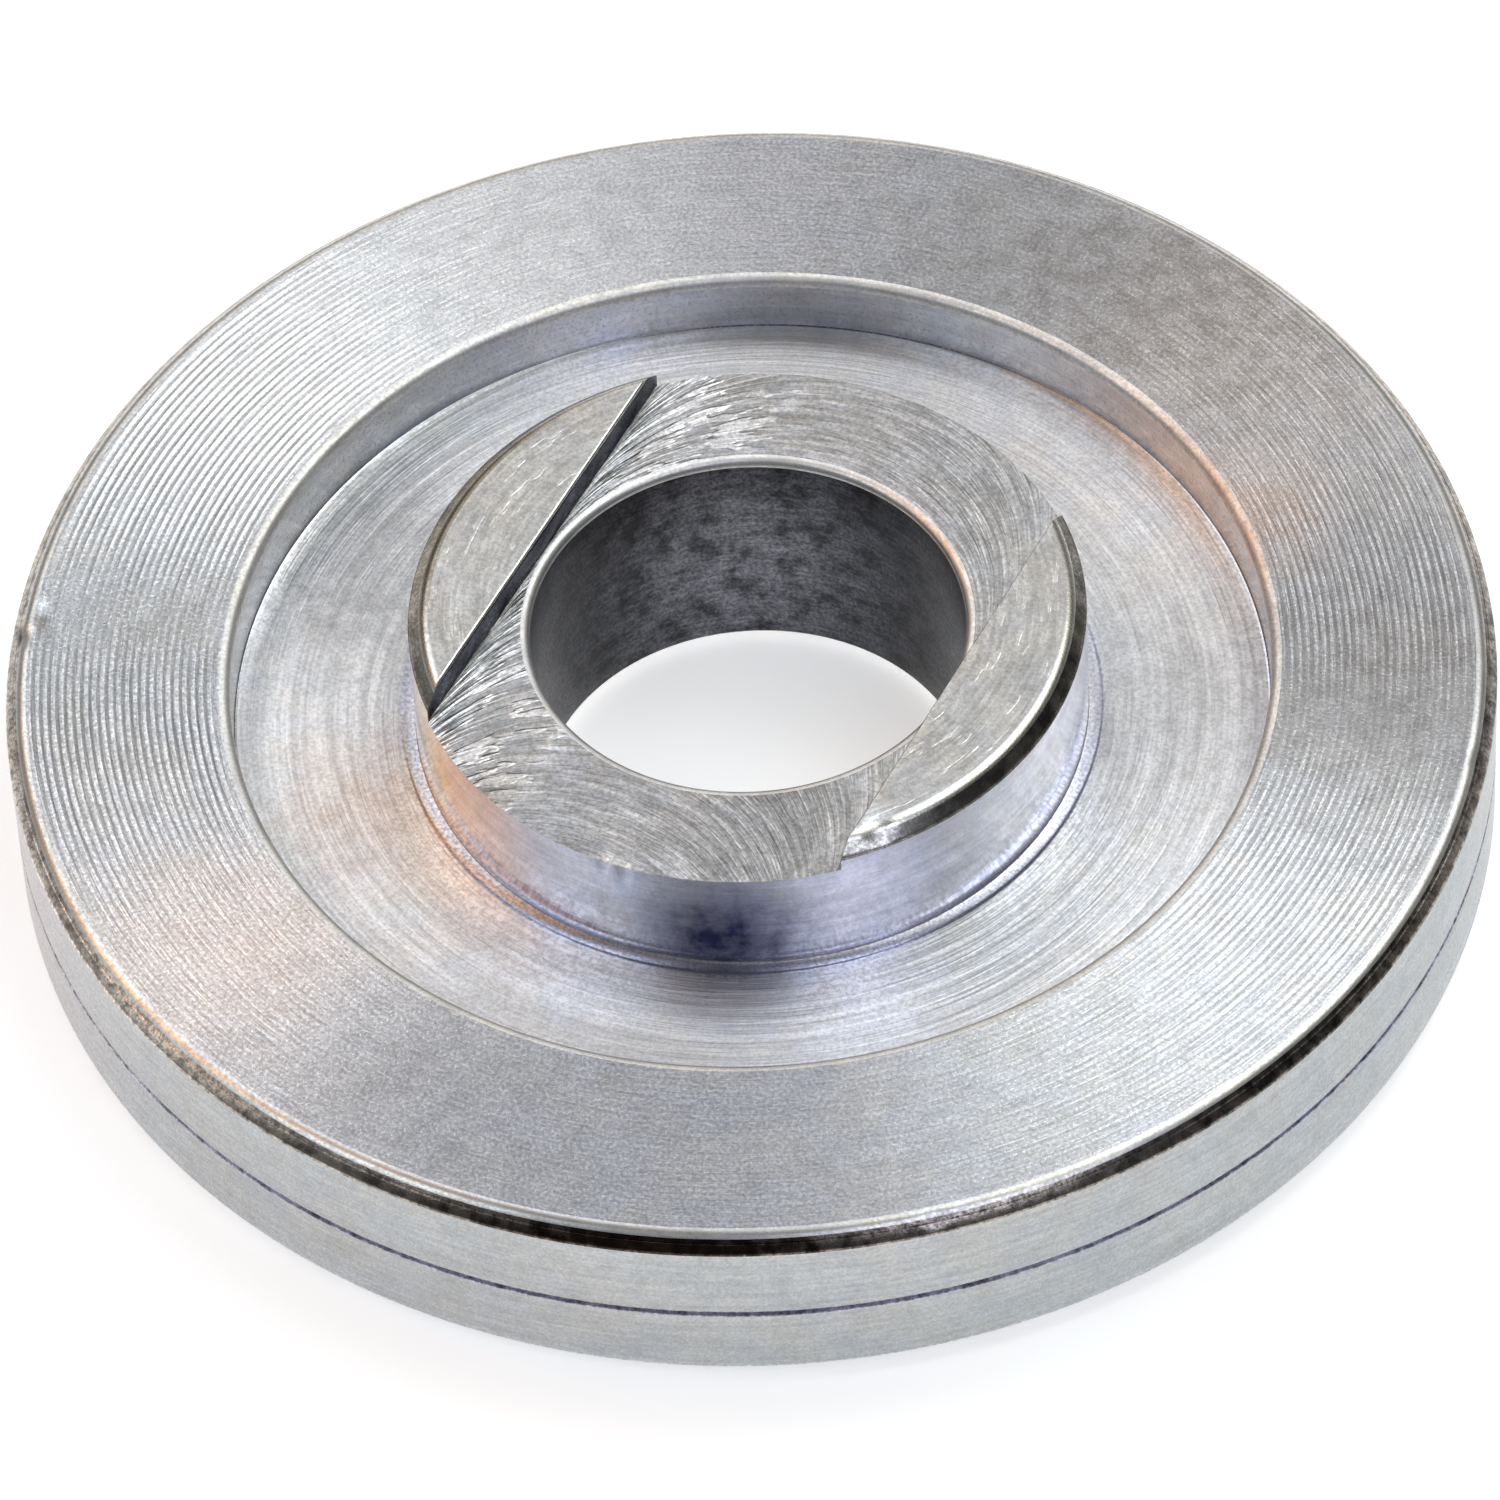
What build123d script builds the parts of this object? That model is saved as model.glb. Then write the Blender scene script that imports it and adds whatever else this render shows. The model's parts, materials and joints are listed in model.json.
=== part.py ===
"""Flange collar for a grinder or saw spindle: one turned and milled steel piece.

The part is a round disc with a wide clamping ring on its front face, a recess inside that ring, and a
pilot hub in the middle.  A slot is milled straight across the top of the hub, so that two raised
D-shaped ears stand on either side of the bore.  The frame has its origin at the centre of the back face,
+Z along the bore towards the hub, and +Y along the slot.  All sizes are in millimetres.
"""

import os

from build123d import *

# Driving dimensions
flange_diameter = 49.0
body_height = 7.0  # back face to clamping ring
clamp_ring_inner_diameter = 34.2  # diameter of the recess wall
recess_depth = 2.2
hub_diameter = 22.2  # pilot for a 22.23 mm disc bore
slot_floor_rise = 1.8  # slot floor above the clamping ring
ear_height = 1.0  # ears above the slot floor
slot_width = 15.0
bore_diameter = 14.3  # clears a 14 mm spindle

# Edge breaks
front_chamfer = 0.5
back_chamfer = 0.8
recess_lip_chamfer = 0.35
bore_chamfer = 0.3
ear_chamfer = 0.5

# Turning marks big enough to measure
witness_depth = 0.1  # the two turning passes on the rim meet in a shallow groove
relief_width = 0.5  # shallow ring that the tool leaves at the foot of the hub
relief_depth = 0.05

# Derived places
flange_radius = flange_diameter / 2
recess_radius = clamp_ring_inner_diameter / 2
hub_radius = hub_diameter / 2
bore_radius = bore_diameter / 2
recess_floor = body_height - recess_depth
slot_floor = body_height + slot_floor_rise
ear_top = slot_floor + ear_height
witness_height = body_height / 2


def outer_outline():
    """Radius and height of each corner from the back of the bore, out round the rim, to the ear's top."""
    back = [
        (bore_radius + bore_chamfer, 0),
        (flange_radius - back_chamfer, 0),
        (flange_radius, back_chamfer),
    ]
    rim = [
        (flange_radius, witness_height - witness_depth),
        (flange_radius - witness_depth, witness_height),
        (flange_radius, witness_height + witness_depth),
        (flange_radius, body_height - front_chamfer),
        (flange_radius - front_chamfer, body_height),
    ]
    recess = [
        (recess_radius + recess_lip_chamfer, body_height),
        (recess_radius, body_height - recess_lip_chamfer),
        (recess_radius, recess_floor),
        (hub_radius + relief_width, recess_floor),
        (hub_radius + relief_width, recess_floor - relief_depth),
        (hub_radius, recess_floor - relief_depth),
    ]
    hub = [
        (hub_radius, ear_top - ear_chamfer),
        (hub_radius - ear_chamfer, ear_top),
    ]
    return back + rim + recess + hub


def bore_outline():
    """Radius and height of each corner from the ear's top, down through the bore, to the back face."""
    return [
        (bore_radius + bore_chamfer, ear_top),
        (bore_radius + bore_chamfer, slot_floor),
        (bore_radius, slot_floor - bore_chamfer),
        (bore_radius, bore_chamfer),
    ]


with BuildPart() as flange_collar:
    # The turned body: one half section revolved about the bore's axis
    with BuildSketch(Plane.XZ):
        with BuildLine():
            Polyline(*outer_outline(), *bore_outline(), close=True)
        make_face()
    revolve(axis=Axis.Z)
    # The slot milled across the hub, right through both sides, which leaves the two ears
    with BuildSketch(Plane.XY.offset(slot_floor)):
        Rectangle(slot_width, 2 * hub_diameter)
    extrude(amount=2 * ear_height, mode=Mode.SUBTRACT)

flange_collar.part.label = "flange_collar"

os.makedirs("parts", exist_ok=True)
export_step(flange_collar.part, "parts/flange_collar.step")
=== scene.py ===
"""Looks of the spindle flange collar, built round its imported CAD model.

One closed mesh stands for the one CAD piece.  It has the same sizes, and adds what the plain solid leaves
out: the turning ridges on the clamping ring, rounded edges, the tool marks and a few dings.  Lengths are in
millimetres, in the CAD frame: origin at the centre of the back face, +Z along the bore, +Y along the slot.
"""

import json
import math

import bmesh
import bpy
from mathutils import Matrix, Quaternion, Vector, noise


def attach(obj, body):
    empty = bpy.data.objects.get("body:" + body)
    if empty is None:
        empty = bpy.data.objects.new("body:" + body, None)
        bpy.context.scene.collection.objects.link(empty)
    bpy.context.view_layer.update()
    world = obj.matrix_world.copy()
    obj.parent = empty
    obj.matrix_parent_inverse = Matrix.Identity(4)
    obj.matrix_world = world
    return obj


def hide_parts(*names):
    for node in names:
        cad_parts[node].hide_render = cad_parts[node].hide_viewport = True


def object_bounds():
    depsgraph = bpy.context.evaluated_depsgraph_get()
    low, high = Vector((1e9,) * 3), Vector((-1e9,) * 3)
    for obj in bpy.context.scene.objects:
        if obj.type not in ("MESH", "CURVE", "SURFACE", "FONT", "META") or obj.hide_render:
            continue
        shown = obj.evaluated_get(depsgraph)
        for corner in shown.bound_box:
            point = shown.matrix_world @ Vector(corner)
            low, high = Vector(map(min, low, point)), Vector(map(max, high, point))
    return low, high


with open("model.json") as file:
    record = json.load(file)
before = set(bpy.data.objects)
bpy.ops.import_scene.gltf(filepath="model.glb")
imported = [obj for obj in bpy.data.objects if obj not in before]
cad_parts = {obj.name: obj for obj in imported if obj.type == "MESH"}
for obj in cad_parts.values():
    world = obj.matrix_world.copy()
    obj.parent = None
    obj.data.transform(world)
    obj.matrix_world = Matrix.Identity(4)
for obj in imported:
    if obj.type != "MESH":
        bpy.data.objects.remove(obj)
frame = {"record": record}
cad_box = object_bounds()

MM = 0.001  # one millimetre in the scene's metres
TURN = 2 * math.pi
grain_depth = 0.004  # of the plating's fine grain

# Sizes from the CAD box and the record's mounts
mounts = {mount["name"]: mount for mount in frame["record"]["mounts"]}
flange_radius = cad_box[1].x / MM
ear_top = cad_box[1].z / MM
hub_radius = mounts["disc_pilot"]["dims"]["r_mm"]
bore_radius = mounts["spindle_bore"]["dims"]["r_mm"]
ring_height = mounts["clamping_ring"]["pos_m"][2] / MM
slot_floor = mounts["slot_floor"]["pos_m"][2] / MM

# Sizes that the record doesn't hold, as in the design
recess_radius = 17.1
recess_depth = 2.2
slot_half_width = 7.5
front_chamfer = 0.5
back_chamfer = 0.8
lip_chamfer = 0.35
bore_chamfer = 0.3
ear_chamfer = 0.5
witness_depth = 0.1
relief_width = 0.5
relief_depth = 0.05
recess_floor = ring_height - recess_depth
witness_height = ring_height / 2
bore_mouth_radius = bore_radius + bore_chamfer

# Detail that only the looks need
ridge_pitch = 0.27  # feed of the facing cut on the clamping ring
ridge_depth = 0.03  # where they show most
ridge_bearing = 193  # degrees from +X to where they show most
step_depth = 0.012  # of the uneven rings turned in the recess
rolled_edge = 0.2  # how far the clamping ring rolls over into its outer chamfer
plain_edge = 0.15  # ridge-free ring inside the rolled edge
chamfer_groove = 0.02  # depth and half width of the thin line round the middle of the front chamfer
slot_edge = {1: 0.04, -1: 0.12}  # rounding of the right and left ears' long edges
ear_roll = 0.2  # how far the ears' tops roll over into their chamfer
ear_steps = 106  # mesh columns across one ear
slot_steps = 96  # mesh columns across one mouth of the slot
arc_steps = 2  # faces round each small rounded edge
wide_arc_steps = 5  # and round each wide one
weld_gap = 0.0002  # points closer than this are one point
sharp_angle = 35  # degrees between two faces from which their edge stays sharp


# ---------------------------------------------------------------- turned section

def outline():
    """Corners of the turned half section, from the top of the hub's wall, round the rim and up the bore.

    Each is (radius, height, rounding, finish of the rounding, finish of the surface that follows).
    """
    relief = recess_floor - relief_depth
    middle = (flange_radius - front_chamfer / 2, ring_height - front_chamfer / 2)
    groove = chamfer_groove
    recess = [
        (hub_radius, slot_floor, 0, "hub_wall", "hub_wall"),
        (hub_radius, relief, 0.06, "relief", "relief"),
        (hub_radius + relief_width - 0.1, relief, 0.05, "relief", "relief"),
        (hub_radius + relief_width, recess_floor, 0.05, "relief", "recess_floor"),
        (recess_radius, recess_floor, 0.08, "recess_wall", "recess_wall"),
        (recess_radius, ring_height, lip_chamfer, "recess_lip", "clamping_ring"),
    ]
    front = [
        (flange_radius - front_chamfer, ring_height, rolled_edge, "rolled_edge", "front_chamfer"),
        (middle[0] - groove, middle[1] + groove, 0, "front_chamfer", "front_chamfer"),
        (middle[0] - groove, middle[1] - groove, 0, "front_chamfer", "front_chamfer"),
        (middle[0] + groove, middle[1] - groove, 0, "front_chamfer", "front_chamfer"),
        (flange_radius, ring_height - front_chamfer, 0.06, "front_chamfer", "rim"),
    ]
    rim = [
        (flange_radius, witness_height + witness_depth, 0.03, "witness", "witness"),
        (flange_radius - witness_depth, witness_height, 0.02, "witness", "witness"),
        (flange_radius, witness_height - witness_depth, 0.03, "witness", "rim"),
        (flange_radius, back_chamfer, 0.08, "back_chamfer", "back_chamfer"),
        (flange_radius - back_chamfer, 0, 0.08, "back_chamfer", "back_face"),
    ]
    bore = [
        (bore_mouth_radius, 0, 0.04, "bore_mouth", "bore_mouth"),
        (bore_radius, bore_chamfer, 0.04, "bore_mouth", "bore"),
        (bore_radius, slot_floor, bore_chamfer, "bore_mouth", "bore_mouth"),
        (bore_mouth_radius, slot_floor, 0, "bore_mouth", "bore_mouth"),
    ]
    return recess + front + rim + bore


def rounded(corners):
    """The corners turned into small arcs: (radius, height, finish of the band that follows)."""
    points = []
    for place, (radius, height, rounding, edge_finish, finish) in enumerate(corners):
        corner = Vector((radius, height))
        if not rounding:
            points.append((radius, height, finish))
            continue
        back = (Vector(corners[place - 1][:2]) - corner).normalized() * rounding
        ahead = (Vector(corners[place + 1][:2]) - corner).normalized() * rounding
        steps = arc_steps if rounding < 0.15 else wide_arc_steps
        for step in range(steps + 1):
            along = step / steps
            point = corner + back * (1 - along) ** 2 + ahead * along ** 2
            points.append((point.x, point.y, finish if step == steps else edge_finish))
    return points


band_widths = {
    "clamping_ring": ridge_pitch / 4,
    "recess_floor": 0.22,
    "recess_wall": 0.5,
    "hub_wall": 0.8,
    "rim": 0.8,
    "bore": 1.6,
    "back_face": 1.0,
}


def divided(points):
    """The outline with its long stretches cut into bands no wider than their finish asks for."""
    rows = []
    for (radius, height, finish), (next_radius, next_height, _) in zip(points, points[1:]):
        length = math.hypot(next_radius - radius, next_height - height)
        cuts = max(1, math.ceil(length / band_widths.get(finish, length) - 0.01))
        for cut in range(cuts):
            along = cut / cuts
            rows.append((
                radius + (next_radius - radius) * along,
                height + (next_height - height) * along,
                finish,
            ))
    rows.append(points[-1])
    return rows


def ridge(radius, angle):
    """Depth of the facing cut's spiral ridges, which fade out at both edges of the clamping ring.

    They are deepest on one side, fainter on the side across from it and faintest between.
    """
    inner = recess_radius + lip_chamfer + 0.1
    outer = flange_radius - front_chamfer - rolled_edge - plain_edge
    fade = min(1, max(0, (radius - inner) / 0.3), max(0, (outer - radius) / 0.2))
    facing = math.cos(angle - math.radians(ridge_bearing))
    depth = 0.25
    depth += 0.75 * min(1, max(0, (facing - 0.75) / 0.2))
    depth += 0.25 * min(1, max(0, (-facing - 0.8) / 0.15))
    uneven = 0.8 + 0.5 * noise.noise(Vector((6 * math.cos(angle), 6 * math.sin(angle), radius * 2.0)))
    wave = 0.5 - 0.5 * math.cos(TURN * radius / ridge_pitch - angle)
    return ridge_depth * fade * depth * uneven * wave


def turned_steps(radius, angle):
    """Depth of the uneven rings that the tool left in the recess."""
    inner = hub_radius + relief_width + 0.1
    fade = min(1, max(0, (radius - inner) / 0.3), max(0, (recess_radius - 0.15 - radius) / 0.3))
    place = Vector((math.cos(angle) * 0.6, math.sin(angle) * 0.6, radius * 3.1))
    return step_depth * fade * (0.5 + noise.noise(place))


def surface_point(radius, height, angle, finish):
    """A point of the turned body, with the depth of its tool marks."""
    if finish == "clamping_ring":
        height -= ridge(radius, angle)
    if finish == "recess_floor":
        height -= turned_steps(radius, angle)
    return Vector((radius * math.cos(angle), radius * math.sin(angle), height))


# ---------------------------------------------------------------- mesh

class Skin:
    """Points and faces of the closed mesh, gathered patch by patch and welded at the end."""

    def __init__(self):
        self.points = []
        self.faces = []
        self.finishes = []

    def patch(self, rows, finishes, closed=False):
        """Adds the faces between neighbouring rows of points, each band with its own finish."""
        first = len(self.points)
        width = len(rows[0])
        for row in rows:
            self.points.extend(row)
        for band, finish in enumerate(finishes[: len(rows) - 1]):
            start = first + band * width
            for column in range(width if closed else width - 1):
                beside = (column + 1) % width
                self.faces.append((
                    start + column,
                    start + beside,
                    start + beside + width,
                    start + column + width,
                ))
                self.finishes.append(finish)


ear_corner = math.acos(slot_half_width / hub_radius)  # angle from +X to where the slot wall meets the hub


def angles():
    """The mesh columns' angles, so that a column falls on each of the four ear corners."""
    stretches = [
        (-ear_corner, ear_corner, ear_steps),
        (ear_corner, math.pi - ear_corner, slot_steps),
        (math.pi - ear_corner, math.pi + ear_corner, ear_steps),
        (math.pi + ear_corner, TURN - ear_corner, slot_steps),
    ]
    found = []
    for start, end, steps in stretches:
        found += [start + (end - start) * step / steps for step in range(steps)]
    return found


def add_turned_body(skin):
    """Everything but the hub's end, from one outline turned about the bore's axis."""
    rows = divided(rounded(outline()))
    columns = angles()
    points = []
    for radius, height, finish in rows:
        points.append([surface_point(radius, height, angle, finish) for angle in columns])
    skin.patch(points, [finish for _, _, finish in rows], closed=True)


def add_slot_floor(skin):
    """The milled floor, from the bore's mouth out to the ears' walls and the hub's edge."""
    bands = 8
    rows = []
    for band in range(bands + 1):
        row = []
        for angle in angles():
            edge = min(hub_radius, slot_half_width / max(abs(math.cos(angle)), 0.1))
            radius = bore_mouth_radius + (edge - bore_mouth_radius) * band / bands
            row.append(Vector((radius * math.cos(angle), radius * math.sin(angle), slot_floor)))
        rows.append(row)
    skin.patch(rows, ["slot_floor"] * bands, closed=True)


def ear_section():
    """The ear's outer side from the slot's floor to its flat top: (radius, height, finish)."""
    shoulder = ear_top - ear_chamfer
    corners = [
        (hub_radius, slot_floor, 0, "hub_wall", "hub_wall"),
        (hub_radius, shoulder, 0.05, "ear_chamfer", "ear_chamfer"),
        (hub_radius - ear_chamfer, ear_top, ear_roll, "ear_roll", "ear_top"),
        (hub_radius - 2 * ear_chamfer, ear_top, 0, "ear_top", "ear_top"),
    ]
    section = []
    for (radius, height, finish), (next_radius, next_height, _) in zip(
        rounded(corners), rounded(corners)[1:]
    ):
        if height >= ear_top:
            break
        cuts = max(1, math.ceil((next_height - height) / 0.06))
        for cut in range(cuts):
            along = cut / cuts
            section.append((
                radius + (next_radius - radius) * along,
                height + (next_height - height) * along,
                finish,
            ))
    section.append((radius, ear_top, "ear_top"))
    return section


def slot_wall_inset(height, rounding):
    """How far the slot wall has rounded back into the ear at a height."""
    above = max(0, height - (ear_top - rounding))
    return rounding - math.sqrt(max(0, rounding ** 2 - above ** 2))


def add_ear(skin, side):
    """One raised D: its outer wall and chamfer, its wall along the slot, and its top.  side is 1 or -1."""
    across = [2 * step / ear_steps - 1 for step in range(ear_steps + 1)]
    section = ear_section()
    outside = []
    wall = []
    for radius, height, _ in section:
        inner = slot_half_width + slot_wall_inset(height, slot_edge[side])
        half_angle = math.acos(inner / radius)
        reach = math.sqrt(radius ** 2 - inner ** 2)
        outside.append([
            Vector((
                side * radius * math.cos(half_angle * share),
                radius * math.sin(half_angle * share),
                height,
            ))
            for share in across
        ])
        wall.append([
            Vector((side * inner, reach * math.tan(ear_corner * share) / math.tan(ear_corner), height))
            for share in across
        ])
    skin.patch(outside, [finish for _, _, finish in section])
    edge_start = ear_top - slot_edge[side]
    skin.patch(wall, ["slot_wall" if height < edge_start else "slot_edge" for _, height, _ in section])
    bands = 6
    top = []
    for band in range(bands + 1):
        along = band / bands
        top.append([near.lerp(far, along) for near, far in zip(wall[-1], outside[-1])])
    skin.patch(top, ["ear_top"] * bands)


def polar(radius, degrees, height):
    """A place given by its radius, its angle from +X and its height."""
    angle = math.radians(degrees)
    return Vector((radius * math.cos(angle), radius * math.sin(angle), height))


# Dings: where, how far across, and how deep, towards the axis and downwards
dings = [
    (polar(hub_radius, -88.3, slot_floor), 0.35, 0.1),
    (polar(hub_radius, -84.6, slot_floor), 0.35, 0.1),
    (polar(flange_radius - 0.5, -157.5, ring_height), 0.4, 0.1),
    (polar(flange_radius - 0.9, -159.9, ring_height), 0.4, 0.08),
    (polar(flange_radius - 0.4, 14.8, ring_height), 0.4, 0.05),
    (polar(flange_radius - 0.3, -49.4, ring_height - 0.2), 0.35, 0.06),
    (polar(hub_radius - 0.4, -40.0, ear_top), 0.7, 0.08),
]


def dinged(point):
    """The point, pushed in where a ding is."""
    for place, reach, depth in dings:
        gap = (point - place).length / reach
        if gap < 1:
            inward = Vector((-place.x, -place.y, -place.xy.length)).normalized()
            point = point + inward * depth * (1 - gap ** 2) ** 2
    return point


def collar_mesh(finishes):
    """The closed mesh, its faces numbered by the order of the finishes."""
    skin = Skin()
    add_turned_body(skin)
    add_slot_floor(skin)
    add_ear(skin, 1)
    add_ear(skin, -1)
    mesh = bpy.data.meshes.new("flange_collar_skin")
    mesh.from_pydata([dinged(point) * MM for point in skin.points], [], skin.faces)
    mesh.polygons.foreach_set("material_index", [finishes.index(name) for name in skin.finishes])
    work = bmesh.new()
    work.from_mesh(mesh)
    bmesh.ops.remove_doubles(work, verts=work.verts, dist=weld_gap * MM)
    bmesh.ops.dissolve_degenerate(work, edges=work.edges, dist=weld_gap / 2 * MM)
    bmesh.ops.recalc_face_normals(work, faces=work.faces)
    for face in work.faces:
        face.smooth = True
    work.to_mesh(mesh)
    work.free()
    mesh.set_sharp_from_angle(angle=math.radians(sharp_angle))
    return mesh


# ---------------------------------------------------------------- materials

class Nodes:
    """Short calls for writing one node tree."""

    def __init__(self, tree):
        self.tree = tree

    def add(self, kind, inputs=None, **settings):
        """A new node with its settings and inputs, each input a value or another node's output."""
        node = self.tree.nodes.new(kind)
        for name, value in settings.items():
            setattr(node, name, value)
        for name, value in (inputs or {}).items():
            self.feed(node.inputs[name], value)
        return node

    def feed(self, socket, value):
        """Links an output to the socket, or sets the socket's own value."""
        if isinstance(value, bpy.types.NodeSocket):
            self.tree.links.new(value, socket)
        else:
            socket.default_value = value

    def math(self, operation, *values):
        node = self.add("ShaderNodeMath", operation=operation)
        for socket, value in zip(node.inputs, values):
            self.feed(socket, value)
        return node.outputs[0]

    def scaled(self, vector, factor):
        node = self.add("ShaderNodeVectorMath", {"Scale": factor}, operation="SCALE")
        self.feed(node.inputs[0], vector)
        return node.outputs[0]

    def noise(self, vector, scale=1.0, detail=2.0, roughness=0.5, distortion=0.0):
        node = self.add("ShaderNodeTexNoise", {
            "Vector": vector, "Scale": scale, "Detail": detail,
            "Roughness": roughness, "Distortion": distortion,
        })
        return node.outputs["Fac"]

    def ramp(self, value, low, high, start=0.0, end=1.0):
        """value from low..high stretched to start..end, and held beyond."""
        node = self.add("ShaderNodeMapRange", {
            "Value": value, "From Min": low, "From Max": high, "To Min": start, "To Max": end,
        })
        return node.outputs[0]

    def mix(self, factor, first, second, blend="MIX"):
        node = self.add("ShaderNodeMix", data_type="RGBA", blend_type=blend)
        self.feed(node.inputs["Factor"], factor)
        self.feed(node.inputs["A"], first)
        self.feed(node.inputs["B"], second)
        return node.outputs["Result"]

    def combine(self, x, y, z):
        return self.add("ShaderNodeCombineXYZ", {"X": x, "Y": y, "Z": z}).outputs[0]


def rgb(red, green, blue):
    return (red, green, blue, 1.0)


class Surface(Nodes):
    """A zinc finish, with the places on the collar that its patterns are laid out by."""

    def __init__(self, name):
        self.material = bpy.data.materials.new(name)
        self.material.use_nodes = True
        super().__init__(self.material.node_tree)
        self.shader = self.tree.nodes["Principled BSDF"]
        place = self.add("ShaderNodeTexCoord").outputs["Object"]
        self.place = self.scaled(place, 1 / MM)
        parts = self.add("ShaderNodeSeparateXYZ", {"Vector": self.place})
        self.x, self.y, self.z = parts.outputs
        self.radius = self.math("POWER", self.math(
            "ADD", self.math("MULTIPLY", self.x, self.x), self.math("MULTIPLY", self.y, self.y)
        ), 0.5)
        self.bearing = (self.math("DIVIDE", self.x, self.radius), self.math("DIVIDE", self.y, self.radius))

    def streaks(self, across, fineness, length, detail=2.0):
        """Marks that run round the axis: fineness is marks a millimetre, length how short they are."""
        vector = self.combine(
            self.math("MULTIPLY", self.bearing[0], length),
            self.math("MULTIPLY", self.bearing[1], length),
            self.math("MULTIPLY", across, fineness),
        )
        return self.noise(vector, 1.0, detail, 0.6)

    def cutter_streaks(self, fineness, length):
        """Marks of the end mill: arcs of the slot's own width, one behind another along the slot."""
        inside = self.math("SUBTRACT", slot_half_width ** 2 + 0.2, self.math("MULTIPLY", self.x, self.x))
        bow = self.math("POWER", self.math("MAXIMUM", inside, 0.01), 0.5)
        along = self.math("SUBTRACT", self.y, bow)
        vector = self.combine(
            self.math("MULTIPLY", along, fineness), self.math("MULTIPLY", self.x, length), 0.0
        )
        return self.noise(vector, 1.0, 2.0, 0.6)

    def near(self, place, reach):
        """From 1 at a place on the collar to 0 at reach from it."""
        gap = self.add("ShaderNodeVectorMath", operation="DISTANCE")
        self.feed(gap.inputs[0], self.place)
        gap.inputs[1].default_value = place
        node = self.add("ShaderNodeMapRange", {
            "Value": gap.outputs["Value"], "From Min": 0.0, "From Max": reach, "To Min": 1.0, "To Max": 0.0,
        }, interpolation_type="SMOOTHSTEP")
        return node.outputs[0]


def zinc(name, colour, roughness, marks, mark_depth, mottle=0.12, fineness=1.2, speckle=0.35,
         anisotropy=0.0, contrast=0.15, stains_and_painted_light=()):
    """A bright zinc finish.

    marks is a function that gives the tool marks' height on a surface, mark_depth their depth in
    millimetres and contrast how much darker their bottoms are in colour, painted shade and highlight along
    the marks with some dirt in the ring's valleys.  mottle and speckle are how strongly clouds and fine
    grain darken the colour, and fineness how many clouds there are to a millimetre.  The last argument holds
    tints laid on the colour, each a place, a reach in millimetres, a colour and a strength: some are the
    zinc's own tints, the others painted highlights, painted shade and painted reflections of the lamps.
    """
    surface = Surface(name)
    height = marks(surface)
    clouds = surface.noise(surface.place, fineness, 3.0, 0.6)
    grain = surface.noise(surface.place, 8.0, 2.0, 0.65)
    hue = surface.noise(surface.place, 0.5, 2.0, 0.5)
    tint = surface.mix(surface.ramp(hue, 0.4, 0.6), rgb(0.97, 0.98, 1.0), rgb(1.0, 0.985, 0.965))
    shade = surface.mix(1.0, colour, tint, "MULTIPLY")
    blotch = surface.ramp(clouds, 0.3, 0.6, 1.0, 0.6)
    # Every tint is laid on patchily through the clouds; some are the zinc's own, the rest painted light.
    for place, reach, stain_and_light_colour, strength in stains_and_painted_light:
        patchy = surface.math("MULTIPLY", blotch, strength)
        spread = surface.math("MULTIPLY", surface.near(place, reach), patchy)
        shade = surface.mix(spread, shade, stain_and_light_colour)
    light = surface.math(
        "MULTIPLY",
        surface.ramp(clouds, 0.35, 0.6, 1.0 - mottle, 1.0),
        surface.ramp(grain, 0.38, 0.6, 1.0 - speckle, 1.0),
    )
    # Colour darker where the marks are low: painted shade and painted highlight along the marks, with some
    # dirt in the clamping ring's valleys.
    light = surface.math("MULTIPLY", light, surface.ramp(height, 0.35, 0.65, 1.0 - contrast, 1.0))
    shade = surface.mix(1.0, shade, surface.combine(light, light, light), "MULTIPLY")
    surface.feed(surface.shader.inputs["Base Color"], shade)
    surface.shader.inputs["Metallic"].default_value = 1.0
    surface.feed(
        surface.shader.inputs["Roughness"],
        surface.ramp(grain, 0.35, 0.65, roughness * 1.15, roughness * 0.85),
    )
    bump = surface.add("ShaderNodeBump", {"Strength": 1.0, "Distance": mark_depth * MM, "Height": height})
    grainy = surface.add("ShaderNodeBump", {
        "Strength": 1.0, "Distance": grain_depth * MM, "Height": grain, "Normal": bump.outputs[0],
    })
    surface.feed(surface.shader.inputs["Normal"], grainy.outputs[0])
    if anisotropy:
        surface.shader.inputs["Anisotropic"].default_value = anisotropy
        surface.shader.inputs["Anisotropic Rotation"].default_value = 0.25
        tangent = surface.add("ShaderNodeTangent", direction_type="RADIAL", axis="Z")
        surface.feed(surface.shader.inputs["Tangent"], tangent.outputs[0])
    return surface.material


bright_zinc = rgb(0.74, 0.75, 0.77)


def ridge_marks(surface):
    """The facing cut's spiral scallops, in step with the mesh's ridges and roughened by finer scratches."""
    angle = surface.math("ARCTAN2", surface.y, surface.x)
    turns = surface.math("SUBTRACT", surface.math("DIVIDE", surface.radius, ridge_pitch),
                         surface.math("DIVIDE", angle, TURN))
    across = surface.math("SUBTRACT", surface.math("FRACT", turns), 0.5)
    scallop = surface.math("MULTIPLY", surface.math("MULTIPLY", across, across), 4.0)
    facing = surface.math("COSINE", surface.math("SUBTRACT", angle, math.radians(ridge_bearing)))
    deepest = surface.ramp(facing, 0.75, 0.95, 0.1, 1.0)
    opposite = surface.ramp(facing, -0.8, -0.95, 0.0, 0.4)
    depth = surface.math("ADD", deepest, opposite)
    lowered = surface.math("SUBTRACT", scallop, 0.3)
    scratches = surface.streaks(surface.radius, 14.0, 12.0)
    return surface.math(
        "ADD",
        surface.math("MULTIPLY", lowered, surface.math("MULTIPLY", depth, 0.6)),
        scratches,
    )


def facing_marks(surface):
    return surface.streaks(surface.radius, 7.0, 5.0)


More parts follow.
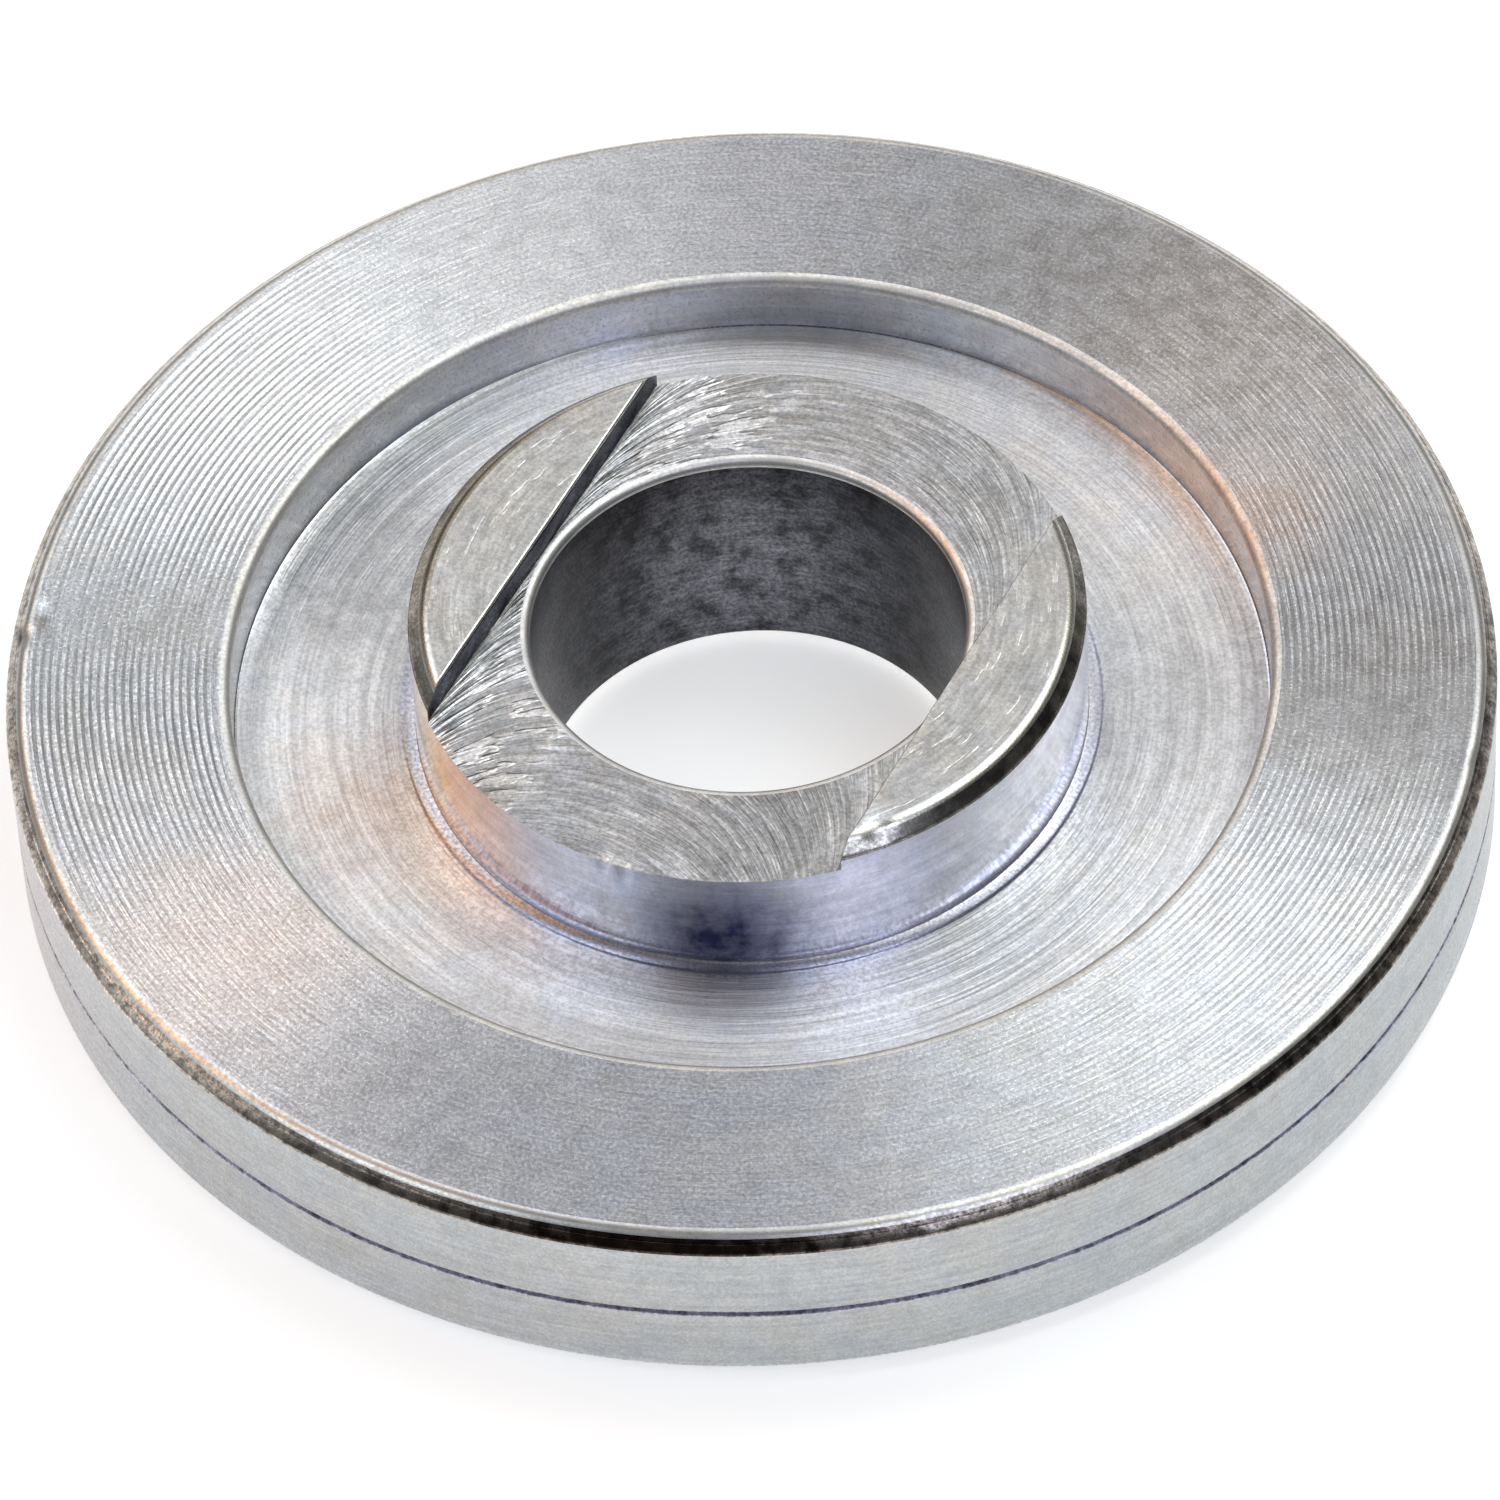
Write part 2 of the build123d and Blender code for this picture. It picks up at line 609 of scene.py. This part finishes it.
def recess_marks(surface):
    """Uneven turned rings, coarse ones under fine ones."""
    coarse = surface.streaks(surface.radius, 3.5, 1.5)
    return surface.math("ADD", surface.math("MULTIPLY", coarse, 0.6), surface.math(
        "MULTIPLY", surface.streaks(surface.radius, 10.0, 4.0), 0.4
    ))


def wall_marks(surface):
    return surface.streaks(surface.z, 6.0, 5.0)


def slot_marks(surface):
    """The end mill's arcs: faint all over, with broken deep strokes beside the left ear."""
    faint = surface.cutter_streaks(4.0, 0.5)
    strokes = surface.ramp(surface.cutter_streaks(1.6, 0.6), 0.48, 0.54)
    by_left_ear = surface.ramp(surface.x, -2.5, -5.5, 0.0, 1.0)
    patchy = surface.ramp(surface.noise(surface.place, 0.6, 1.0), 0.40, 0.50)
    share = surface.math("MULTIPLY", surface.math("MULTIPLY", strokes, patchy), by_left_ear)
    return surface.math("ADD", surface.math("MULTIPLY", faint, 0.8), surface.math("MULTIPLY", share, 0.9))


def ear_marks(surface):
    """Short turned scratches, a few of them deep."""
    fine = surface.streaks(surface.radius, 7.0, 5.0)
    strokes = surface.ramp(surface.streaks(surface.radius, 3.0, 6.0), 0.60, 0.66)
    return surface.math("ADD", fine, surface.math("MULTIPLY", strokes, 0.5))


def collar_finishes():
    """The finish of each surface, by name, in the order of the mesh's material slots."""
    return {
        "clamping_ring": zinc(
            "clamping_ring", rgb(0.86, 0.87, 0.88), 0.30, ridge_marks, 0.015,
            anisotropy=0.85, contrast=0.18,
            stains_and_painted_light=[
                # Painted highlight: whiter colour over the ring's upper left, where its turned sheen is
                # brightest.
                (polar(21.0, 150, ring_height), 20.0, rgb(1.0, 1.0, 1.0), 2.5),
                # Darker at the top right, the right and the front: partly the zinc's own blotches, partly
                # painted shade.
                (polar(21.0, 76, ring_height), 15.0, rgb(0.58, 0.565, 0.54), 1.3),
                (polar(21.0, 22, ring_height), 12.0, rgb(0.62, 0.60, 0.59), 1.0),
                (polar(21.0, -94, ring_height), 8.0, rgb(0.66, 0.665, 0.68), 1.0),
                # Painted reflections of the warm lamp on the left: a warm tint at the front left and a
                # copper one by the recess lip on the right.
                (polar(20.5, -118, ring_height), 6.0, rgb(1.0, 0.90, 0.84), 0.8),
                (polar(17.6, 46, ring_height), 4.0, rgb(1.0, 0.80, 0.68), 0.9),
            ],
        ),
        "recess_floor": zinc(
            "recess_floor", rgb(1.0, 1.0, 1.0), 0.45, recess_marks, 0.04, mottle=0.08, anisotropy=0.35,
            contrast=0.3, speckle=0.2,
            stains_and_painted_light=[
                # Painted highlight: a bluish sheen on the floor before the hub's front foot.
                (polar(12.5, -66, recess_floor), 2.6, rgb(0.84, 0.86, 1.0), 1.0),
                (polar(14.5, 25, recess_floor), 9.0, rgb(0.80, 0.79, 0.79), 1.3),
                # Painted reflection of the warm lamp: a warm tint at the front left.
                (polar(13.0, -135, recess_floor), 5.0, rgb(0.92, 0.78, 0.69), 1.0),
                (polar(14.5, 178, recess_floor), 8.0, rgb(0.62, 0.62, 0.63), 1.6),
            ],
        ),
        "relief": zinc("relief", rgb(0.85, 0.85, 0.92), 0.4, facing_marks, 0.002),
        "recess_wall": zinc("recess_wall", rgb(0.66, 0.67, 0.72), 0.25, wall_marks, 0.001, speckle=0.12),
        "recess_lip": zinc(
            # Painted highlight: the lip's near-white colour brightens it where it reflects dark
            # surroundings.
            "recess_lip", rgb(1.0, 0.99, 0.95), 0.5, wall_marks, 0.001, speckle=0.2,
            # Painted reflection of the warm lamp: a copper tint on the lip's right.
            stains_and_painted_light=[(polar(recess_radius, 48, ring_height), 8.0, rgb(1.0, 0.72, 0.56), 0.9)],
        ),
        "hub_wall": zinc(
            # Painted reflection: the mirror-like wall's bluish tint.
            "hub_wall", rgb(0.84, 0.86, 1.0), 0.09, wall_marks, 0.001, speckle=0.12,
            stains_and_painted_light=[
                # Painted reflection of the warm lamp at the front left.
                (polar(hub_radius, -140, 7.0), 5.0, rgb(1.0, 0.86, 0.66), 2.5),
                # Painted dark reflection: a navy patch at the front of the wall.
                (polar(hub_radius, -68, 6.0), 3.8, rgb(0.08, 0.09, 0.24), 1.2),
            ],
        ),
        "rolled_edge": zinc("rolled_edge", rgb(0.9, 0.89, 0.86), 0.35, wall_marks, 0.001, speckle=0.25),
        "front_chamfer": zinc(
            "front_chamfer", rgb(0.62, 0.56, 0.50), 0.25, wall_marks, 0.001, mottle=0.6, fineness=2.0,
            speckle=0.4,
            stains_and_painted_light=[
                # Painted dark reflections: near-black at the front right, the right and the front.
                (polar(24.2, -15, ring_height), 16.0, rgb(0.08, 0.07, 0.065), 1.0),
                (polar(24.2, 22, ring_height), 9.0, rgb(0.18, 0.165, 0.155), 1.0),
                (polar(24.2, -70, ring_height), 12.0, rgb(0.12, 0.085, 0.07), 1.6),
                # Painted highlight: warm white at the front left.
                (polar(24.2, -125, ring_height), 11.0, rgb(1.0, 0.90, 0.80), 2.0),
            ],
        ),
        "rim": zinc(
            # Painted shade: the rim's darker colour stands in for the dimmer floor it would reflect.
            "rim", rgb(0.54, 0.56, 0.57), 0.3, wall_marks, 0.002, mottle=0.1, speckle=0.15,
            # Painted reflection of the warm lamp: pinkish at the front left.
            stains_and_painted_light=[(polar(flange_radius, -140, 3.0), 10.0, rgb(0.66, 0.58, 0.58), 0.8)],
        ),
        "witness": zinc(
            # Painted reflection: the groove's violet colour.
            "witness", rgb(0.62, 0.60, 0.80), 0.4, wall_marks, 0.004, mottle=0.7, fineness=2.5, speckle=0.5,
            # Painted highlight: whiter at the front left.
            stains_and_painted_light=[(polar(flange_radius, -128, witness_height), 13.0, rgb(0.95, 0.95, 1.0), 0.9)],
        ),
        "back_chamfer": zinc("back_chamfer", bright_zinc, 0.25, wall_marks, 0.001),
        "back_face": zinc("back_face", bright_zinc, 0.34, facing_marks, 0.008, anisotropy=0.7),
        "bore": zinc(
            # Near-black colour in the bore: thinner plating and painted shade.
            "bore", rgb(0.055, 0.055, 0.065), 0.34, wall_marks, 0.006,
            mottle=0.75, speckle=0.5, contrast=0.4,
            # Painted light: lighter on the far wall of the bore.
            stains_and_painted_light=[(polar(bore_radius, 119, 3.5), 7.0, rgb(0.42, 0.43, 0.48), 1.2)],
        ),
        "bore_mouth": zinc(
            "bore_mouth", rgb(1.0, 0.99, 0.97), 0.45, wall_marks, 0.002, speckle=0.15,
            # Painted reflection of the warm lamp: a copper tint at the right.
            stains_and_painted_light=[(polar(bore_radius, 55, slot_floor), 4.0, rgb(1.0, 0.76, 0.60), 0.8)],
        ),
        "slot_floor": zinc(
            "slot_floor", rgb(0.97, 0.96, 0.95), 0.34, slot_marks, 0.06, contrast=0.45, speckle=0.35,
            mottle=0.2,
            stains_and_painted_light=[
                (polar(11.0, -112, slot_floor), 1.3, rgb(0.48, 0.41, 0.32), 0.8),
                (polar(11.0, -88.3, slot_floor), 0.4, rgb(1.0, 0.97, 0.9), 3.0),
                (polar(11.0, -84.6, slot_floor), 0.4, rgb(1.0, 0.97, 0.9), 3.0),
                (polar(9.6, -146, slot_floor), 3.0, rgb(1.0, 1.0, 1.0), 1.5),
                (polar(9.3, -58, slot_floor), 5.0, rgb(0.74, 0.73, 0.72), 1.4),
                (polar(9.6, 130, slot_floor), 3.0, rgb(1.0, 1.0, 1.0), 1.5),
                # Painted glints of the warm lamp: two copper spots at the floor's front left corner.
                (polar(11.1, -135, slot_floor), 0.7, rgb(1.0, 0.72, 0.55), 0.9),
                (polar(11.1, -127, slot_floor), 0.5, rgb(1.0, 0.72, 0.55), 0.9),
            ],
        ),
        # Painted shade: the slot wall's near-black navy colour.
        "slot_wall": zinc("slot_wall", rgb(0.03, 0.035, 0.08), 0.25, wall_marks, 0.001),
        "slot_edge": zinc("slot_edge", rgb(0.95, 0.94, 0.9), 0.25, wall_marks, 0.001),
        "ear_top": zinc(
            "ear_top", rgb(0.84, 0.825, 0.78), 0.34, ear_marks, 0.012,
            speckle=0.3, mottle=0.18, contrast=0.28,
            # Painted highlight: a white spot at the ding on the right ear's front.
            stains_and_painted_light=[(polar(10.3, -41, ear_top), 1.3, rgb(1.0, 1.0, 0.98), 3.0)],
        ),
        "ear_roll": zinc(
            "ear_roll", rgb(0.95, 0.93, 0.86), 0.28, wall_marks, 0.001, speckle=0.25,
            stains_and_painted_light=[(polar(10.8, 180, ear_top), 8.0, rgb(0.42, 0.37, 0.29), 2.0)],
        ),
        "ear_chamfer": zinc(
            "ear_chamfer", rgb(0.42, 0.40, 0.36), 0.28, wall_marks, 0.001, mottle=0.5, speckle=0.4,
            stains_and_painted_light=[
                # Painted dark reflection: near-black on the right ear's chamfer.
                (polar(10.8, 8, ear_top), 7.0, rgb(0.06, 0.055, 0.05), 0.95),
                # Painted highlight: white on the right ear's chamfer at the front.
                (polar(10.8, -41, ear_top), 2.6, rgb(1.0, 0.98, 0.93), 1.0),
                (polar(10.8, 180, ear_top), 9.0, rgb(0.60, 0.53, 0.42), 1.5),
            ],
        ),
    }


# ---------------------------------------------------------------- stage, light and camera

view_azimuth = 29.2  # degrees round from looking along +Y
view_elevation = 48.59
view_distance = 358.2
view_centre = Vector((0, 0, ring_height))
aim = Vector((-0.138, -0.077, 2.449))  # where the line of sight passes the axis
lens = 261.9
roll = 3.3


def from_view(right, away, up):
    """A direction or place as seen by the camera: to its right, away from it along the floor, and up."""
    turn = math.radians(view_azimuth)
    side = Vector((math.cos(turn), math.sin(turn), 0))
    forward = Vector((-math.sin(turn), math.cos(turn), 0))
    return side * right + forward * away + Vector((0, 0, up))


floor_gap = 0.05  # keeps the floor clear of the back face
floor_half_width = 3.0  # metres


def add_floor():
    """A plain pale floor, large enough to fill any view."""
    mesh = bpy.data.meshes.new("studio_floor")
    work = bmesh.new()
    bmesh.ops.create_grid(work, x_segments=4, y_segments=4, size=floor_half_width)
    work.to_mesh(mesh)
    work.free()
    floor = bpy.data.objects.new("studio_floor", mesh)
    bpy.context.collection.objects.link(floor)
    material = bpy.data.materials.new("pale_floor")
    material.use_nodes = True
    nodes = Nodes(material.node_tree)
    shader = nodes.tree.nodes["Principled BSDF"]
    place = nodes.add("ShaderNodeTexCoord").outputs["Object"]
    cloud = nodes.noise(place, 6.0, 2.0)
    nodes.feed(shader.inputs["Base Color"], nodes.mix(cloud, rgb(0.9, 0.9, 0.9), rgb(0.92, 0.92, 0.92)))
    shader.inputs["Roughness"].default_value = 0.9
    shader.inputs["Emission Color"].default_value = rgb(1.0, 1.0, 1.0)
    shader.inputs["Emission Strength"].default_value = 0.5
    # Seen from below, the floor is clear under the collar, so that the back face shows
    length = nodes.add("ShaderNodeVectorMath", operation="LENGTH")
    nodes.feed(length.inputs[0], place)
    from_below = nodes.add("ShaderNodeNewGeometry").outputs["Backfacing"]
    under_collar = nodes.math("LESS_THAN", length.outputs["Value"], flange_radius * MM)
    window = nodes.add("ShaderNodeMixShader")
    nodes.feed(window.inputs[0], nodes.math("MULTIPLY", from_below, under_collar))
    nodes.feed(window.inputs[1], shader.outputs["BSDF"])
    nodes.feed(window.inputs[2], nodes.add("ShaderNodeBsdfTransparent").outputs["BSDF"])
    nodes.feed(nodes.tree.nodes["Material Output"].inputs["Surface"], window.outputs["Shader"])
    mesh.materials.append(material)
    floor.location.z = -floor_gap * MM


# The studio's lamps: name, height and bearing in degrees, width in degrees, and the light they give.
# A bearing runs from straight away from the camera, 0, through its right, 90.
lamps = [
    ("ceiling", 64, 68, 40, (1.95, 2.0, 1.85)),
    ("ceiling_back", 58, 40, 24, (2.2, 2.4, 2.7)),
    ("back_high", 62, 0, 24, (0.55, 0.6, 0.75)),
    ("warm_left", 50, 297, 24, (2.5, 1.25, 0.5)),
    ("back_left", 50, 330, 26, (1.95, 2.0, 2.05)),
    ("back_right", 50, 45, 32, (0.45, 0.4, 0.3)),
    ("near_right", 49, 150, 28, (2.3, 2.4, 2.8)),
    ("near_left", 50, 243, 28, (1.9, 2.05, 2.2)),
    ("left", 32, 272, 40, (0.65, 0.65, 0.65)),
    ("back", 32, 0, 30, (0.85, 0.8, 0.75)),
]


def add_lamp(name, height, bearing, width, light):
    """A distant round lamp, as wide as it looks from the collar, that shines with the given light."""
    half = math.radians(width / 2)
    strength = max(light)
    data = bpy.data.lights.new(name, "SUN")
    data.angle = 2 * half
    data.energy = math.pi * math.sin(half) ** 2 * strength
    data.color = [part / strength for part in light]
    lamp = bpy.data.objects.new(name, data)
    level = math.radians(height)
    turn = math.radians(bearing)
    towards = from_view(math.cos(level) * math.sin(turn), math.cos(level) * math.cos(turn), math.sin(level))
    lamp.location = towards * 0.5
    lamp.rotation_mode = "QUATERNION"
    lamp.rotation_quaternion = towards.to_track_quat("Z", "Y")
    bpy.context.collection.objects.link(lamp)


band_heights = (0.15, 0.42)  # sines of the heights between which the horizon's band fades out
horizon_light = 0.28
backdrop_light = 0.03


def add_world():
    """A dim backdrop, with a brighter band along the horizon, that fills in what the lamps leave dark."""
    world = bpy.data.worlds.new("studio")
    world.use_nodes = True
    bpy.context.scene.world = world
    backdrop = world.node_tree.nodes["Background"]
    backdrop.inputs["Color"].default_value = rgb(1.0, 1.0, 1.0)
    nodes = Nodes(world.node_tree)
    direction = nodes.add("ShaderNodeSeparateXYZ")
    nodes.feed(direction.inputs[0], nodes.add("ShaderNodeTexCoord").outputs["Generated"])
    strength = nodes.ramp(direction.outputs["Z"], *band_heights, horizon_light, backdrop_light)
    nodes.feed(backdrop.inputs["Strength"], strength)


def add_camera():
    """The camera of the reference view: a long lens, slightly rolled."""
    data = bpy.data.cameras.new("camera")
    data.sensor_width = 36
    data.lens = lens
    data.clip_start = 0.01
    data.clip_end = 10
    camera = bpy.data.objects.new("camera", data)
    bpy.context.collection.objects.link(camera)
    level = math.radians(view_elevation)
    stand = view_centre + from_view(0, -math.cos(level), math.sin(level)) * view_distance
    camera.location = stand * MM
    camera.rotation_mode = "QUATERNION"
    upright = (aim - stand).to_track_quat("-Z", "Y")
    camera.rotation_quaternion = upright @ Quaternion((0, 0, 1), math.radians(-roll))
    bpy.context.scene.camera = camera


# ---------------------------------------------------------------- assembly

def add_collar():
    """The finished collar in place of the plain CAD piece."""
    finishes = collar_finishes()
    collar = bpy.data.objects.new("flange_collar_body", collar_mesh(list(finishes)))
    for material in finishes.values():
        collar.data.materials.append(material)
    bpy.context.collection.objects.link(collar)
    collar.modifiers.new("even_shading", "WEIGHTED_NORMAL").keep_sharp = True
    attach(collar, "root")
    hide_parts("flange_collar")


add_collar()
add_floor()
add_world()
for lamp in lamps:
    add_lamp(*lamp)
add_camera()
bpy.context.scene.view_settings.view_transform = "Standard"
